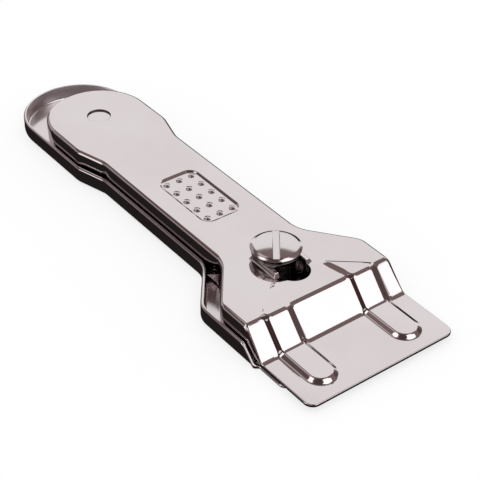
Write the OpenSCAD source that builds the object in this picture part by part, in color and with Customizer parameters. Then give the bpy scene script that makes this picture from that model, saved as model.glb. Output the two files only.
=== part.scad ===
// Sliding hob scraper. A pressed cover nests in a pressed tray with a blade between them, and a
// clamp screw that passes through a slot holds the cover where it guards or bares the blade.
// +Y runs from the scraping edge to the round end, and the tray lies on Z = 0.

/* [Sheet metal] */
// Thickness of the tray's and the cover's sheet
sheet_t = 0.8; // [0.6:0.05:1]
// Outer radius of the bend round the cover's top
cover_bend_r = 1.1; // [0.9:0.1:1.8]
// Outer radius of the bend round the tray's floor
tray_bend_r = 1.5; // [1.1:0.1:2]
// Outer radius of the two folds of the cover's step
fold_r = 2.2; // [1.1:0.1:2.6]
// Gap on each side between the cover's skirt and the tray's wall
nest_gap = 0.35; // [0.25:0.05:0.6]
// Gap under the cover's skirt
skirt_gap = 0.4; // [0.3:0.05:0.6]

/* [Cover] */
// Length of the flat front plate, up to the foot of the step
plate_l = 18.3; // [17:0.1:22]
// Radius of the front plate's corners
plate_corner_r = 2.5; // [1:0.1:4]
// Length of the step, seen from above
step_l = 6.3; // [5:0.1:8]
// Height of the cover's flat top above the surface that the scraper lies on
cover_h = 9.4; // [8:0.1:12]
// Length of the full-width head, from the front edge to the flare
head_l = 34.8; // [32:0.1:40]
// Length of the flare between head and handle
flare_l = 13.2; // [10:0.1:18]
// Width of the handle
handle_w = 24.4; // [20:0.2:30]
// Length of the handle's parallel part
handle_l = 54.2; // [45:0.1:90]
// Length of the taper between the handle and the round end
taper_l = 9.6; // [7:0.1:16]
// Width of the round end
bulb_w = 29.8; // [27:0.2:38]
// Distance from the taper to the centre of the round end
bulb_l = 11.8; // [6:0.1:20]
// Diameter of the half-pierced disc at the centre of the round end
disc_d = 6.5; // [4:0.1:9]
// Depth of the disc below the cover's top
disc_depth = 0.45; // [0.3:0.05:0.6]

/* [Outline corners] */
// Corner radius where the head starts to narrow
head_corner_r = 5; // [3:0.1:8]
// Corner radius where the flare meets the handle
neck_corner_r = 9; // [5:0.1:12]
// Corner radius where the handle starts to widen
taper_corner_r = 8; // [4:0.1:12]
// Corner radius where the taper meets the round end
bulb_corner_r = 8; // [4:0.1:12]

/* [Ribs] */
// Distance from the middle to each rib's centre line
rib_x = 13.2; // [12:0.1:15]
// Width of a rib's foot
rib_foot_w = 8.6; // [7:0.1:10]
// Width of a rib's flat top
rib_top_w = 6.2; // [5:0.1:6.6]
// Height of a rib above the sheet
rib_h = 0.8; // [0.7:0.05:1.1]
// Distance from the front edge to the centre of a rib's round end
rib_end_y = 8; // [6:0.1:10]
// Height of the fan that each rib runs out into on the cover's top
fan_h = 0.35; // [0.1:0.05:0.5]

/* [Slide and clamp] */
// How far the cover slides back from rest, to bare the blade
travel_back = 6; // [4:0.1:8]
// How far the cover slides forward from rest
travel_ahead = 1.5; // [0.5:0.1:2.5]
// Room at the slot's front end past the end of travel
slot_spare_front = 0.95; // [0.5:0.05:2.5]
// Room at the slot's rear end past the end of travel
slot_spare_rear = 1.7; // [0.3:0.05:2]
// Distance from the flare's narrow end forward to the screw's axis
screw_ahead = 6.3; // [4:0.1:7]
// Outer diameter of the threaded post
post_d = 7.8; // [7:0.1:8.4]
// Gap on each side between the post and the slot
slot_gap = 0.3; // [0.2:0.05:0.5]
// Height of the lips along the slot
lip_h = 1; // [0.6:0.05:1.4]
// Width of a lip's top
lip_w = 1.2; // [0.9:0.05:1.5]
// Width of a lip's outer slope
lip_slope_w = 0.55; // [0.3:0.05:0.8]
// Length of the slope at each end of a lip
lip_end_l = 0.45; // [0.2:0.05:1]
// Diameter of the screw's shank
shank_d = 4.9; // [4:0.1:5.2]
// Radial running gap between the shank and the post's bore
shank_gap = 0.05; // [0.03:0.01:0.1]
// Diameter of the screw's head
screw_head_d = 13.2; // [12:0.1:15]
// Diameter of the head's seat, from which the head widens upwards to its rim
screw_seat_d = 11.2; // [10:0.1:12.4]
// Height of the head's cone between the seat and the rim
screw_cone_h = 0.9; // [0.5:0.05:1.2]
// Height of the cylindrical rim of the screw's head
screw_rim_h = 0.15; // [0.1:0.05:0.6]
// Rise of the head's dome above its rim
screw_dome_h = 1.1; // [0.8:0.05:1.6]
// Width of the driver slot
driver_w = 1.8; // [1.2:0.1:2.4]
// Depth of the driver slot below the dome's top
driver_depth = 0.7; // [0.5:0.05:1]
// Angle of the driver slot from the X axis
driver_angle = 52.6; // [0:0.1:180]
// Diameter of the clamp washer
washer_d = 12.4; // [11.6:0.1:13]
// Thickness of the clamp washer
washer_t = 1; // [0.4:0.05:1.2]

/* [Tray] */
// Height of the tray's rim
tray_h = 5; // [3.5:0.1:6]
// Room behind the cover at rest, more than the cover slides back
rear_room = 11.35; // [9:0.05:16]
// Distance from the cover's front edge back to the tray's tongue
tongue_y = 9.75; // [8:0.05:12]
// How far the tongue stays inside the front plate on each side
tongue_inset = 0.1; // [0:0.05:0.6]
// Radius of the tongue's corners
tongue_corner_r = 2; // [1:0.1:3]
// Distance from the foot of the cover's step back to where the tray's wall starts
wall_lead = 1.6; // [0.5:0.1:3]
// Length over which the tray's wall rises to the rim
wall_run = 4.5; // [3:0.1:7]

/* [Blade] */
// Width of the blade, which sets the width of the head
blade_w = 40; // [38:0.5:60]
// How far the front plate runs past the blade on each side
blade_side = 2.5; // [1.5:0.1:4]
// Depth of the blade from edge to back
blade_l = 19; // [17:0.1:20]
// Thickness of the blade
blade_t = 0.3; // [0.2:0.05:0.4]
// Distance from the cover's front edge back to the blade's edge
blade_y = 3; // [2:0.1:4]
// Length of the ground bevel
bevel_l = 1.2; // [0.6:0.1:2]
// Diameter of the studs that locate the blade
stud_d = 4; // [3:0.1:4.2]
// Gap on each side between a stud and its hole in the blade
stud_gap = 0.1; // [0.05:0.05:0.3]
// Distance from the cover's front edge back to the studs
stud_y = 16; // [14.5:0.1:17.5]
// Gap between the blade and the cover's front plate
slide_gap = 0.3; // [0.2:0.05:0.5]

/* [Thumb pad] */
// Width of the sunk pad on the handle
pad_w = 12; // [8:0.1:16]
// Length of the sunk pad
pad_l = 23; // [15:0.1:30]
// Corner radius of the pad
pad_r = 3; // [1:0.1:3.8]
// Depth of the pad below the cover's top
pad_depth = 0.4; // [0.2:0.05:0.6]
// Distance from the flare's narrow end back to the pad's centre
pad_back = 26.4; // [20:0.1:32]
// Foot diameter of each grip bump
bump_d = 2.2; // [1.4:0.1:2.4]
// Height of each grip bump
bump_h = 0.35; // [0.2:0.05:0.5]
// Grip bumps across the pad
bumps_across = 3; // [2:1:3]
// Grip bumps along the pad
bumps_along = 5; // [3:1:6]

/* [Hidden] */
$fn = 72;
cut = 1;
bend_steps = 4;
fold_steps = 4;
corner_steps = 6;
taper_steps = 4;
end_steps = 14;

// Heights, from the surface that the tray lies on
plate_under = sheet_t + blade_t + slide_gap;
plate_top = plate_under + sheet_t;
skirt_z = sheet_t + skirt_gap;
lip_top = cover_h + lip_h;
seat_gap = 0.05;
clamp_gap = 0.2;
washer_z = lip_top + seat_gap;
screw_head_z = washer_z + washer_t;
post_top = lip_top - clamp_gap;

// Widths of the head
plate_w = blade_w + 2 * blade_side;
tongue_w = plate_w - 2 * tongue_inset;

// Places along Y, from the cover's front edge
flare_y = head_l;
neck_y = flare_y + flare_l;
taper_y = neck_y + handle_l;
bulb_y = taper_y + taper_l;
disc_y = bulb_y + bulb_l;
screw_y = neck_y - screw_ahead;
pad_y = neck_y + pad_back;
tray_out = nest_gap + sheet_t;
overall_l = disc_y + rear_room + bulb_w / 2 + tray_out;

// Angle that the outline turns through at the flare and at the taper
flare_turn = atan2((plate_w - handle_w) / 2, flare_l);
taper_turn = atan2((bulb_w - handle_w) / 2, taper_l);

// Radius of the front plate's edges, which grows to the cover's bend up the step
plate_edge_r = 0.2;
// Least radius inside a bend
inner_bend_r = 0.15;
// Least width of a skirt's foot, as a share of the sheet
foot_share = 0.5;

function unit(angle) = [cos(angle), sin(angle)];
function at_height(point, z) = [point.x, point.y, z];
function mix(from, to, share) = from + (to - from) * share;
function tangent_l(radius, turn) = radius * tan(turn / 2);

// Corners of the outline, right side, front to back: centre, radius (negative where the outline is
// hollow), first and last angle of the normal, and steps. The tray's head and neck lie further
// back, its taper further ahead and its round end further back than the cover's.
function corners(back, ahead, rear) = [
    [[plate_w / 2 - head_corner_r, flare_y + back - tangent_l(head_corner_r, flare_turn)],
        head_corner_r, 0, flare_turn, corner_steps],
    [[handle_w / 2 + neck_corner_r, neck_y + back + tangent_l(neck_corner_r, flare_turn)],
        -neck_corner_r, flare_turn, 0, corner_steps],
    [[handle_w / 2 + taper_corner_r, taper_y - ahead - tangent_l(taper_corner_r, taper_turn)],
        -taper_corner_r, 0, -taper_turn, taper_steps],
    [[bulb_w / 2 - bulb_corner_r, bulb_y - ahead + tangent_l(bulb_corner_r, taper_turn)],
        bulb_corner_r, -taper_turn, 0, taper_steps],
    [[0, disc_y + rear], bulb_w / 2, 0, 90 - 90 / (2 * end_steps + 1), end_steps]
];

// Stations along an outline that is moved out by a distance: each is a point and its normal
function stations(arcs, out) = [
    for (arc = arcs, i = [0:arc[4]])
        let (normal = unit(mix(arc[2], arc[3], i / arc[4])))
        [arc[0] + (arc[1] + out) * normal, normal]
];

// Points of a bend, from the wall to the flat at height z. way is -1 where the wall hangs from the
// flat and 1 where it stands on it.
function bend(point, normal, wall, radius, z, way) = [
    for (k = [0:bend_steps])
        let (angle = 90 - 90 * k / bend_steps)
        at_height(point - (wall + radius * (1 - sin(angle))) * normal,
                  z + way * radius * (1 - cos(angle)))
];

// Folds of the step, as points [y, z, slope]: a hollow one at the foot and a round one at the crest
step_slope = atan2(cover_h - plate_top, step_l);
function foot_fold(y, z) = [
    for (k = [0:fold_steps])
        let (slope = step_slope * k / fold_steps)
        [y - tangent_l(fold_r, step_slope) + fold_r * sin(slope), z + fold_r * (1 - cos(slope)), slope]
];
function crest_fold(y, z) = [
    for (k = [0:fold_steps])
        let (slope = step_slope * (1 - k / fold_steps))
        [y + tangent_l(fold_r, step_slope) - fold_r * sin(slope), z - fold_r * (1 - cos(slope)), slope]
];

// The sheet's own profile and the profile of a rib's top, which stands proud of it by rib_h
sheet_profile = concat(foot_fold(plate_l, plate_top), crest_fold(plate_l + step_l, cover_h));
rib_ahead = rib_h / sin(step_slope);
rib_profile = concat(
    foot_fold(plate_l - rib_ahead + rib_h / tan(step_slope), plate_top + rib_h),
    crest_fold(plate_l + step_l - rib_ahead + fan_h / tan(step_slope), cover_h + fan_h));

// Angles round a rib's end, from its tip to its sides
rib_end_angles = [84, 60, 40, 20, 0];
tip_lead = 0.3;
// Places of the fans' ends across the top, as shares of its half width
fan_shares = [0.36, 0.34, 0.32, 0.3];

// Points of a rib across one row: outer foot, outer top, inner top and inner foot
function rib_points(foot_half, top_half, foot_y, foot_z, top_y, top_z) = [
    [rib_x + foot_half, foot_y, foot_z],
    [rib_x + top_half, top_y, top_z],
    [rib_x - top_half, top_y, top_z],
    [rib_x - foot_half, foot_y, foot_z]
];

// Rows of the cover, right half, front to back: station point, normal, top height, slope, rib points
function side_row(y, z, slope, rib) = [[plate_w / 2, y], unit(0), z, slope, rib];
tip_y = rib_end_y - rib_foot_w / 2;
cover_rows = concat(
    [for (y = [0, tip_y - tip_lead])
        side_row(y, plate_top, 0,
            rib_points(rib_foot_w / 2 * cos(rib_end_angles[0]), rib_top_w / 2 * cos(rib_end_angles[0]),
                       y, plate_top, y, plate_top))],
    [for (angle = rib_end_angles)
        let (foot = rib_foot_w / 2 * unit(angle), top = rib_top_w / 2 * unit(angle))
        side_row(rib_end_y - foot.y, plate_top, 0,
            rib_points(foot.x, top.x, rib_end_y - foot.y, plate_top,
                       rib_end_y - top.y, plate_top + rib_h))],
    [for (i = [0:len(sheet_profile) - 1])
        let (sheet = sheet_profile[i], rib = rib_profile[i])
        side_row(sheet.x, sheet.y, sheet[2],
            rib_points(rib_foot_w / 2, rib_top_w / 2, sheet.x, sheet.y, rib.x, rib.y))],
    [for (s = stations(corners(0, 0, 0), 0))
        let (edge = s[0] - cover_bend_r * s[1])
        [s[0], s[1], cover_h, 0, [for (share = fan_shares) [edge.x * share, edge.y, cover_h]]]]
);

// Upper and lower surface of the cover across one row
function lift_share(z) = (z - plate_top) / (cover_h - plate_top);
function cover_upper(row) =
    let (share = lift_share(row[2]))
    concat([at_height(row[0], mix(plate_under, skirt_z, share))],
           bend(row[0], row[1], 0, mix(plate_edge_r, cover_bend_r, share), row[2], -1),
           row[4]);
function cover_lower(row) =
    let (share = lift_share(row[2]),
         low = mix(plate_under, skirt_z, share),
         inner_r = max(mix(plate_edge_r, cover_bend_r, share) - sheet_t, inner_bend_r),
         offset = sheet_t * [0, sin(row[3]), -cos(row[3])],
         under = row[2] + offset.z,
         point = row[0] + [0, offset.y],
         foot = min(sheet_t, max(foot_share * sheet_t, under - inner_r - low)))
    [for (p = concat([at_height(point - foot * row[1], low)],
                     bend(point, row[1], sheet_t, inner_r, under, -1),
                     [for (p = row[4]) p + offset]))
        at_height(p, max(p.z, low))];

// Rows of the tray, right half, front to back, and its inside and outside across one row
tray_rows = concat([[[plate_w / 2 + tray_out, tongue_y], unit(0)]],
                   stations(corners(travel_back, travel_ahead, rear_room), tray_out));
function tray_inside(row) =
    concat([at_height(row[0] - sheet_t * row[1], tray_h)],
           bend(row[0], row[1], sheet_t, tray_bend_r - sheet_t, sheet_t, 1));
function tray_outside(row) =
    concat([at_height(row[0], tray_h)],
           bend(row[0], row[1], 0, tray_bend_r, 0, 1));

// A half row and its mirror image, from the left edge to the right
function whole_row(half) = concat([for (p = half) [-p.x, p.y, p.z]],
                                  [for (i = [len(half) - 1:-1:0]) half[i]]);

// One pressed sheet from the rows of its two surfaces, closed along its edges and round its end
module sheet(upper, lower) {
    rows = len(upper);
    columns = len(upper[0]);
    last = rows - 1;
    flat = bend_steps + 1;
    function up(j, i) = j * columns + i;
    function low(j, i) = (rows + j) * columns + i;
    function cell(a, b, c, d) = [[a, b, c], [a, c, d]];
    surfaces = [
        for (j = [0:last - 1], i = [0:columns - 2])
            each concat(cell(up(j, i), up(j + 1, i), up(j + 1, i + 1), up(j, i + 1)),
                        cell(low(j, i + 1), low(j + 1, i + 1), low(j + 1, i), low(j, i)))
    ];
    edges = [
        for (j = [0:last - 1])
            each concat(cell(up(j + 1, 0), up(j, 0), low(j, 0), low(j + 1, 0)),
                        cell(up(j, columns - 1), up(j + 1, columns - 1),
                             low(j + 1, columns - 1), low(j, columns - 1)))
    ];
    front = [
        for (i = [0:columns - 2])
            each cell(up(0, i), up(0, i + 1), low(0, i + 1), low(0, i))
    ];
    end_bends = [
        for (k = [0:flat - 2])
            each concat(cell(up(last, k + 1), up(last, k),
                             up(last, columns - 1 - k), up(last, columns - 2 - k)),
                        cell(low(last, columns - 2 - k), low(last, columns - 1 - k),
                             low(last, k), low(last, k + 1)))
    ];
    end_flats = [
        for (i = [flat:columns - flat - 1])
            each [[up(last, flat - 1), up(last, i + 1), up(last, i)],
                  [low(last, flat - 1), low(last, i), low(last, i + 1)]]
    ];
    end_rim = cell(up(last, columns - 1), up(last, 0), low(last, 0), low(last, columns - 1));
    polyhedron(points = [for (row = concat(upper, lower)) each row],
               faces = concat(surfaces, edges, front, end_bends, end_flats, end_rim),
               convexity = 6);
}

// Both sides of the middle plane
module both_sides() {
    for (side = [0, 1]) mirror([side, 0, 0]) children();
}

// What lies outside a rounded corner, for the right front corner of a sheet
module corner_cut(half_w, front_y, radius, height) {
    translate([half_w - radius, front_y + radius, -cut])
        linear_extrude(height + 2 * cut)
        difference() {
            translate([0, -radius - cut]) square(radius + cut);
            circle(radius);
        }
}

module stadium(radius, length) {
    translate([-radius, 0]) square([2 * radius, length]);
    circle(radius);
    translate([0, length]) circle(radius);
}

module rounded_rectangle(width, length, radius) {
    square([width - 2 * radius, length], center = true);
    square([width, length - 2 * radius], center = true);
    for (x = [-1, 1], y = [-1, 1])
        translate([x * (width / 2 - radius), y * (length / 2 - radius)]) circle(radius);
}

// A profile in Y and Z, drawn out to both sides of the middle plane
module across(width) {
    rotate([90, 0, 90]) linear_extrude(width, center = true) children();
}

// From the front edge to the middle of the whole scraper
module placed() {
    translate([0, -overall_l / 2, 0]) children();
}

// Slot for the post, with its lips
slot_r = post_d / 2 + slot_gap;
slot_front_y = screw_y - travel_back - slot_spare_front;
slot_rear_y = screw_y + travel_ahead + slot_spare_rear;
lip_foot = slot_r + lip_w + lip_slope_w;

module slot_lip() {
    intersection() {
        translate([0, slot_rear_y, 0]) rotate([90, 0, 0])
            linear_extrude(slot_rear_y - slot_front_y)
            polygon([[slot_r, cover_h - sheet_t], [slot_r, lip_top], [slot_r + lip_w, lip_top],
                     [lip_foot, cover_h], [lip_foot, cover_h - sheet_t]]);
        across(2 * lip_foot + 2 * cut)
            polygon([[slot_front_y, cover_h - sheet_t], [slot_front_y, cover_h],
                     [slot_front_y + lip_end_l, lip_top], [slot_rear_y - lip_end_l, lip_top],
                     [slot_rear_y, cover_h], [slot_rear_y, cover_h - sheet_t]]);
    }
}

// Width of a bump's top, as a share of its foot
bump_top_share = 0.5;

module grip_bumps() {
    pitch_x = pad_w / bumps_across;
    pitch_y = pad_l / bumps_along;
    for (i = [0:bumps_across - 1], j = [0:bumps_along - 1])
        translate([(i - (bumps_across - 1) / 2) * pitch_x, pad_y + (j - (bumps_along - 1) / 2) * pitch_y,
                   cover_h - pad_depth])
            cylinder(h = bump_h, d1 = bump_d, d2 = bump_d * bump_top_share);
}

module upper_cover() {
    color("gainsboro") placed() {
        difference() {
            union() {
                sheet([for (row = cover_rows) whole_row(cover_upper(row))],
                      [for (row = cover_rows) whole_row(cover_lower(row))]);
                both_sides() slot_lip();
                translate([0, disc_y, cover_h - sheet_t - disc_depth]) cylinder(h = sheet_t, d = disc_d);
                translate([0, pad_y, cover_h - sheet_t - pad_depth])
                    linear_extrude(sheet_t)
                    rounded_rectangle(pad_w + sheet_t, pad_l + sheet_t, pad_r + sheet_t / 2);
            }
            translate([0, slot_front_y, plate_top])
                linear_extrude(lip_top)
                stadium(slot_r, slot_rear_y - slot_front_y);
            translate([0, disc_y, cover_h - disc_depth]) cylinder(h = disc_depth + cut, d = disc_d);
            translate([0, pad_y, cover_h - pad_depth])
                linear_extrude(pad_depth + cut)
                rounded_rectangle(pad_w, pad_l, pad_r);
            both_sides() corner_cut(plate_w / 2, 0, plate_corner_r, plate_top);
        }
        grip_bumps();
    }
}

// The post's spigot is riveted through the tray's floor
spigot_d = 6;
spigot_gap = 0.05;
// The studs reach up into the hollow of the ribs
stud_h = plate_under + rib_h - slide_gap - sheet_t;
stud_bore_share = 0.6;
wall_y = plate_l + wall_lead;

module stud() {
    translate([rib_x, stud_y, 0]) cylinder(h = sheet_t + stud_h, d = stud_d);
}

// Hollow under a pressed stud
module stud_hollow() {
    translate([rib_x, stud_y, -cut]) cylinder(h = cut + stud_h, d = stud_d * stud_bore_share);
}

module lower_tray() {
    color("silver") placed() {
        difference() {
            union() {
                sheet([for (row = tray_rows) whole_row(tray_inside(row))],
                      [for (row = tray_rows) whole_row(tray_outside(row))]);
                both_sides() stud();
            }
            across(plate_w + 2 * tray_out + 2 * cut)
                polygon([[tongue_y - cut, sheet_t + stud_h + cut], [tongue_y - cut, tray_h + cut],
                         [wall_y + wall_run, tray_h + cut], [wall_y + wall_run, tray_h],
                         [wall_y, sheet_t + stud_h + cut]]);
            both_sides() {
                translate([tongue_w / 2, tongue_y - cut, -cut])
                    cube([tray_out + plate_w / 2, wall_y - tongue_y + cut, tray_h + 2 * cut]);
                corner_cut(tongue_w / 2, tongue_y, tongue_corner_r, tray_h);
                stud_hollow();
            }
            translate([0, screw_y, -cut]) cylinder(h = sheet_t + 2 * cut, d = spigot_d + 2 * spigot_gap);
        }
    }
}

// Thickness left at the blade's edge, as a share of the blade's thickness
edge_share = 0.15;

module blade() {
    edge_t = blade_t * edge_share;
    color("lightsteelblue") placed() translate([0, blade_y, sheet_t])
        difference() {
            across(blade_w)
                polygon([[0, blade_t / 2 - edge_t / 2], [bevel_l, 0], [blade_l, 0], [blade_l, blade_t],
                         [bevel_l, blade_t], [0, blade_t / 2 + edge_t / 2]]);
            both_sides() translate([rib_x, stud_y - blade_y, -cut])
                cylinder(h = blade_t + 2 * cut, d = stud_d + 2 * stud_gap);
        }
}

module threaded_post() {
    color("dimgray") placed() translate([0, screw_y, 0])
        difference() {
            union() {
                cylinder(h = 2 * sheet_t, d = spigot_d);
                translate([0, 0, sheet_t]) cylinder(h = post_top - sheet_t, d = post_d);
            }
            translate([0, 0, -cut]) cylinder(h = post_top + 2 * cut, d = shank_d + 2 * shank_gap);
        }
}

shank_end_z = sheet_t;
dome_r = (pow(screw_head_d / 2, 2) + pow(screw_dome_h, 2)) / (2 * screw_dome_h);
screw_rim_z = screw_head_z + screw_cone_h;
screw_top = screw_rim_z + screw_rim_h + screw_dome_h;

module clamp_screw() {
    color("whitesmoke") placed() translate([0, screw_y, 0])
        difference() {
            union() {
                translate([0, 0, shank_end_z])
                    cylinder(h = screw_rim_z - shank_end_z, d = shank_d);
                translate([0, 0, screw_head_z])
                    cylinder(h = screw_cone_h, d1 = screw_seat_d, d2 = screw_head_d);
                intersection() {
                    translate([0, 0, screw_rim_z])
                        cylinder(h = screw_rim_h + screw_dome_h, d = screw_head_d);
                    translate([0, 0, screw_top - dome_r]) sphere(dome_r);
                }
            }
            rotate([0, 0, driver_angle])
                translate([-screw_head_d, -driver_w / 2, screw_top - driver_depth])
                cube([2 * screw_head_d, driver_w, driver_depth + cut]);
        }
}

// Gap on each side between the washer and the shank
washer_gap = 0.3;

module clamp_washer() {
    color("gray") placed() translate([0, screw_y, washer_z])
        difference() {
            cylinder(h = washer_t, d = washer_d);
            translate([0, 0, -cut]) cylinder(h = washer_t + 2 * cut, d = shank_d + 2 * washer_gap);
        }
}

lower_tray();
upper_cover();
blade();
threaded_post();
clamp_screw();
clamp_washer();
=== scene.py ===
"""Looks of the hob scraper: two nested chromed pressings, a blade, a post, a washer and a screw."""

import math

import bmesh
import bpy
import numpy as np
from mathutils import Matrix, Vector


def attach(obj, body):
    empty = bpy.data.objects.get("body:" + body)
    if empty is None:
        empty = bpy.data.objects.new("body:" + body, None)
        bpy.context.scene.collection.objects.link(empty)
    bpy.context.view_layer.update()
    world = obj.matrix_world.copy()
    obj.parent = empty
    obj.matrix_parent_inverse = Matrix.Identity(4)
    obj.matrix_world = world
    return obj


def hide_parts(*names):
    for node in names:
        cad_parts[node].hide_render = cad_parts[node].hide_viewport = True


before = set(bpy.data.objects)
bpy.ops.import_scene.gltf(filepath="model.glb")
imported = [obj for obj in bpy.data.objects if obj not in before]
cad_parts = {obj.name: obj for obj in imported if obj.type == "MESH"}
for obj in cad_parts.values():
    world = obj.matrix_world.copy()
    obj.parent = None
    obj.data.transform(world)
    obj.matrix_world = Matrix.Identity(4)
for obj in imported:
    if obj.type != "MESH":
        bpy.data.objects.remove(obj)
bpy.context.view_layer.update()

# Lengths are in millimetres, measured along Y from the cover's front edge, as in the part's source
MM = 0.001

# Sheet, its bends, and the gaps between the two shells
SHEET_T = 0.8
BEND_R, TRAY_BEND_R, FOLD_R, PLATE_EDGE_R = 1.1, 1.5, 2.2, 0.2
NEST_GAP, SKIRT_GAP = 0.35, 0.4

# The cover's plate, step, head, waisted handle and round end
PLATE_L, PLATE_CORNER_R, STEP_L, COVER_H = 18.3, 2.5, 6.3, 9.4
HEAD_L, FLARE_L, HANDLE_W, HANDLE_L = 34.8, 13.2, 24.4, 54.2
TAPER_L, BULB_W, BULB_L = 9.6, 29.8, 11.8
HEAD_CORNER_R, NECK_CORNER_R, TAPER_CORNER_R, BULB_CORNER_R = 5, 9, 8, 8
DISC_D, DISC_DEPTH, DISC_EDGE_R = 6.5, 0.45, 0.2

# Ribs, and the fans on the top that they run out into
RIB_X, RIB_FOOT, RIB_TOP, RIB_H, RIB_END_Y = 13.2, 4.3, 3.1, 0.8, 8
FAN_H, FAN_APEX = 0.35, (6.93, 34.3)

# Sunk thumb pad with its grip bumps
PAD_W, PAD_L, PAD_R, PAD_DEPTH, PAD_BACK, PAD_WALL_W = 12, 23, 3, 0.4, 26.4, 0.6
BUMP_D, BUMP_H, BUMPS_ACROSS, BUMPS_ALONG = 2.2, 0.35, 3, 5

# The cover's travel, its slot and the slot's raised lips
TRAVEL_BACK, TRAVEL_AHEAD, SLOT_SPARE_FRONT, SLOT_SPARE_REAR = 6, 1.5, 0.95, 1.7
SLOT_GAP, SLOT_EDGE_R = 0.3, 0.28
LIP_H, LIP_W, LIP_SLOPE_W, LIP_END_L = 1, 1.2, 0.55, 0.45

# Screw, its driver slot and thread, washer and post
SCREW_AHEAD, SCREW_D, SEAT_D, CONE_H, RIM_H = 6.3, 13.2, 11.2, 0.9, 0.15
DOME_H, DOME_R, DOME_CURL_R = 1.1, 30, 5.3
DRIVER_W, DRIVER_DEPTH, DRIVER_ANGLE, DRIVER_CHAMFER = 1.8, 0.7, 52.6, 0.11
SHANK_D, SHANK_GAP, THREAD_PITCH, THREAD_DEPTH = 4.9, 0.05, 0.8, 0.38
WASHER_D, WASHER_T, WASHER_GAP = 12.4, 1, 0.05
POST_D, POST_DROP, SPIGOT_R, SPIGOT_GAP = 7.8, 0.2, 3, 0.05

# Tray, and the blade with its studs
TRAY_H, REAR_ROOM, TONGUE_Y, TONGUE_INSET, TONGUE_CORNER_R = 5, 11.35, 9.75, 0.1, 2
WALL_LEAD, WALL_RUN = 1.6, 4.5
BLADE_W, BLADE_SIDE, BLADE_T, SLIDE_GAP = 40, 2.5, 0.3, 0.3
STUD_D, STUD_Y, STUD_FILLET_R, STUD_EDGE_R, STUD_HOLLOW_R = 4, 16, 0.25, 0.35, 1.2

# Heights above the table
PLATE_UNDER = SHEET_T + BLADE_T + SLIDE_GAP
PLATE_TOP = PLATE_UNDER + SHEET_T
SKIRT_Z = SHEET_T + SKIRT_GAP
LIP_TOP = COVER_H + LIP_H
WASHER_Z = LIP_TOP + WASHER_GAP
HEAD_Z = WASHER_Z + WASHER_T
POST_TOP = LIP_TOP - POST_DROP
CONE_TOP = HEAD_Z + CONE_H
RIM_TOP = CONE_TOP + RIM_H
SCREW_TOP = RIM_TOP + DOME_H
STUD_H = PLATE_UNDER + RIB_H - SLIDE_GAP - SHEET_T

# Widths, and places along Y
PLATE_W = BLADE_W + 2 * BLADE_SIDE
TONGUE_W = PLATE_W - 2 * TONGUE_INSET
FLARE_Y = HEAD_L
NECK_Y = FLARE_Y + FLARE_L
TAPER_Y = NECK_Y + HANDLE_L
BULB_Y = TAPER_Y + TAPER_L
DISC_Y = BULB_Y + BULB_L
SCREW_Y = NECK_Y - SCREW_AHEAD
PAD_Y = NECK_Y + PAD_BACK
WALL_Y = PLATE_L + WALL_LEAD
TRAY_OUT = NEST_GAP + SHEET_T
OVERALL_L = DISC_Y + REAR_ROOM + BULB_W / 2 + TRAY_OUT
SLOT_R = POST_D / 2 + SLOT_GAP
SLOT_FRONT = SCREW_Y - TRAVEL_BACK - SLOT_SPARE_FRONT
SLOT_REAR = SCREW_Y + TRAVEL_AHEAD + SLOT_SPARE_REAR
SLOT_L = SLOT_REAR - SLOT_FRONT

# Turns of the outline in degrees, and the step's slope with the path along its two folds
FLARE_TURN = math.degrees(math.atan2((PLATE_W - HANDLE_W) / 2, FLARE_L))
TAPER_TURN = math.degrees(math.atan2((BULB_W - HANDLE_W) / 2, TAPER_L))
STEP_SLOPE = math.atan2(COVER_H - PLATE_TOP, STEP_L)
FOLD_LEAD = FOLD_R * math.tan(STEP_SLOPE / 2)
FOLD_TURN = FOLD_R * STEP_SLOPE
SLOPE_L = math.hypot(STEP_L, COVER_H - PLATE_TOP) - 2 * FOLD_LEAD
FOLD_AT = PLATE_L - FOLD_LEAD
SLOPE_AT = FOLD_AT + FOLD_TURN
CREST_AT = SLOPE_AT + SLOPE_L
CREST_END = CREST_AT + FOLD_TURN
CREST_Y = PLATE_L + STEP_L + FOLD_LEAD

# The camera, fitted to the photograph: its direction in degrees, what it looks at, and its lens
CAMERA_AZ, CAMERA_EL, CAMERA_ROLL = -37.413, 36.917, 0.655
CAMERA_TARGET, CAMERA_AWAY = (0.38, 56.94, 5), 361.12
CAMERA_LENS, CAMERA_SENSOR = 104.94, 36


# Camera

def make_camera():
    az, el, roll = np.radians((CAMERA_AZ, CAMERA_EL, CAMERA_ROLL))
    back = Vector((math.sin(az) * math.cos(el), -math.cos(az) * math.cos(el), math.sin(el)))
    side = Vector((math.cos(az), math.sin(az), 0))
    up = back.cross(side)
    right = side * math.cos(roll) + up * math.sin(roll)
    above = up * math.cos(roll) - side * math.sin(roll)
    target = (Vector(CAMERA_TARGET) - Vector((0, OVERALL_L / 2, 0))) * MM
    data = bpy.data.cameras.new("camera")
    data.sensor_width, data.lens = CAMERA_SENSOR, CAMERA_LENS
    data.clip_start, data.clip_end = 0.01, 20
    camera = bpy.data.objects.new("camera", data)
    place = target + back * CAMERA_AWAY * MM
    camera.matrix_world = Matrix((
        (right.x, above.x, back.x, place.x),
        (right.y, above.y, back.y, place.y),
        (right.z, above.z, back.z, place.z),
        (0, 0, 0, 1)))
    bpy.context.scene.collection.objects.link(camera)
    bpy.context.scene.camera = camera


make_camera()


# Meshes

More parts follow.
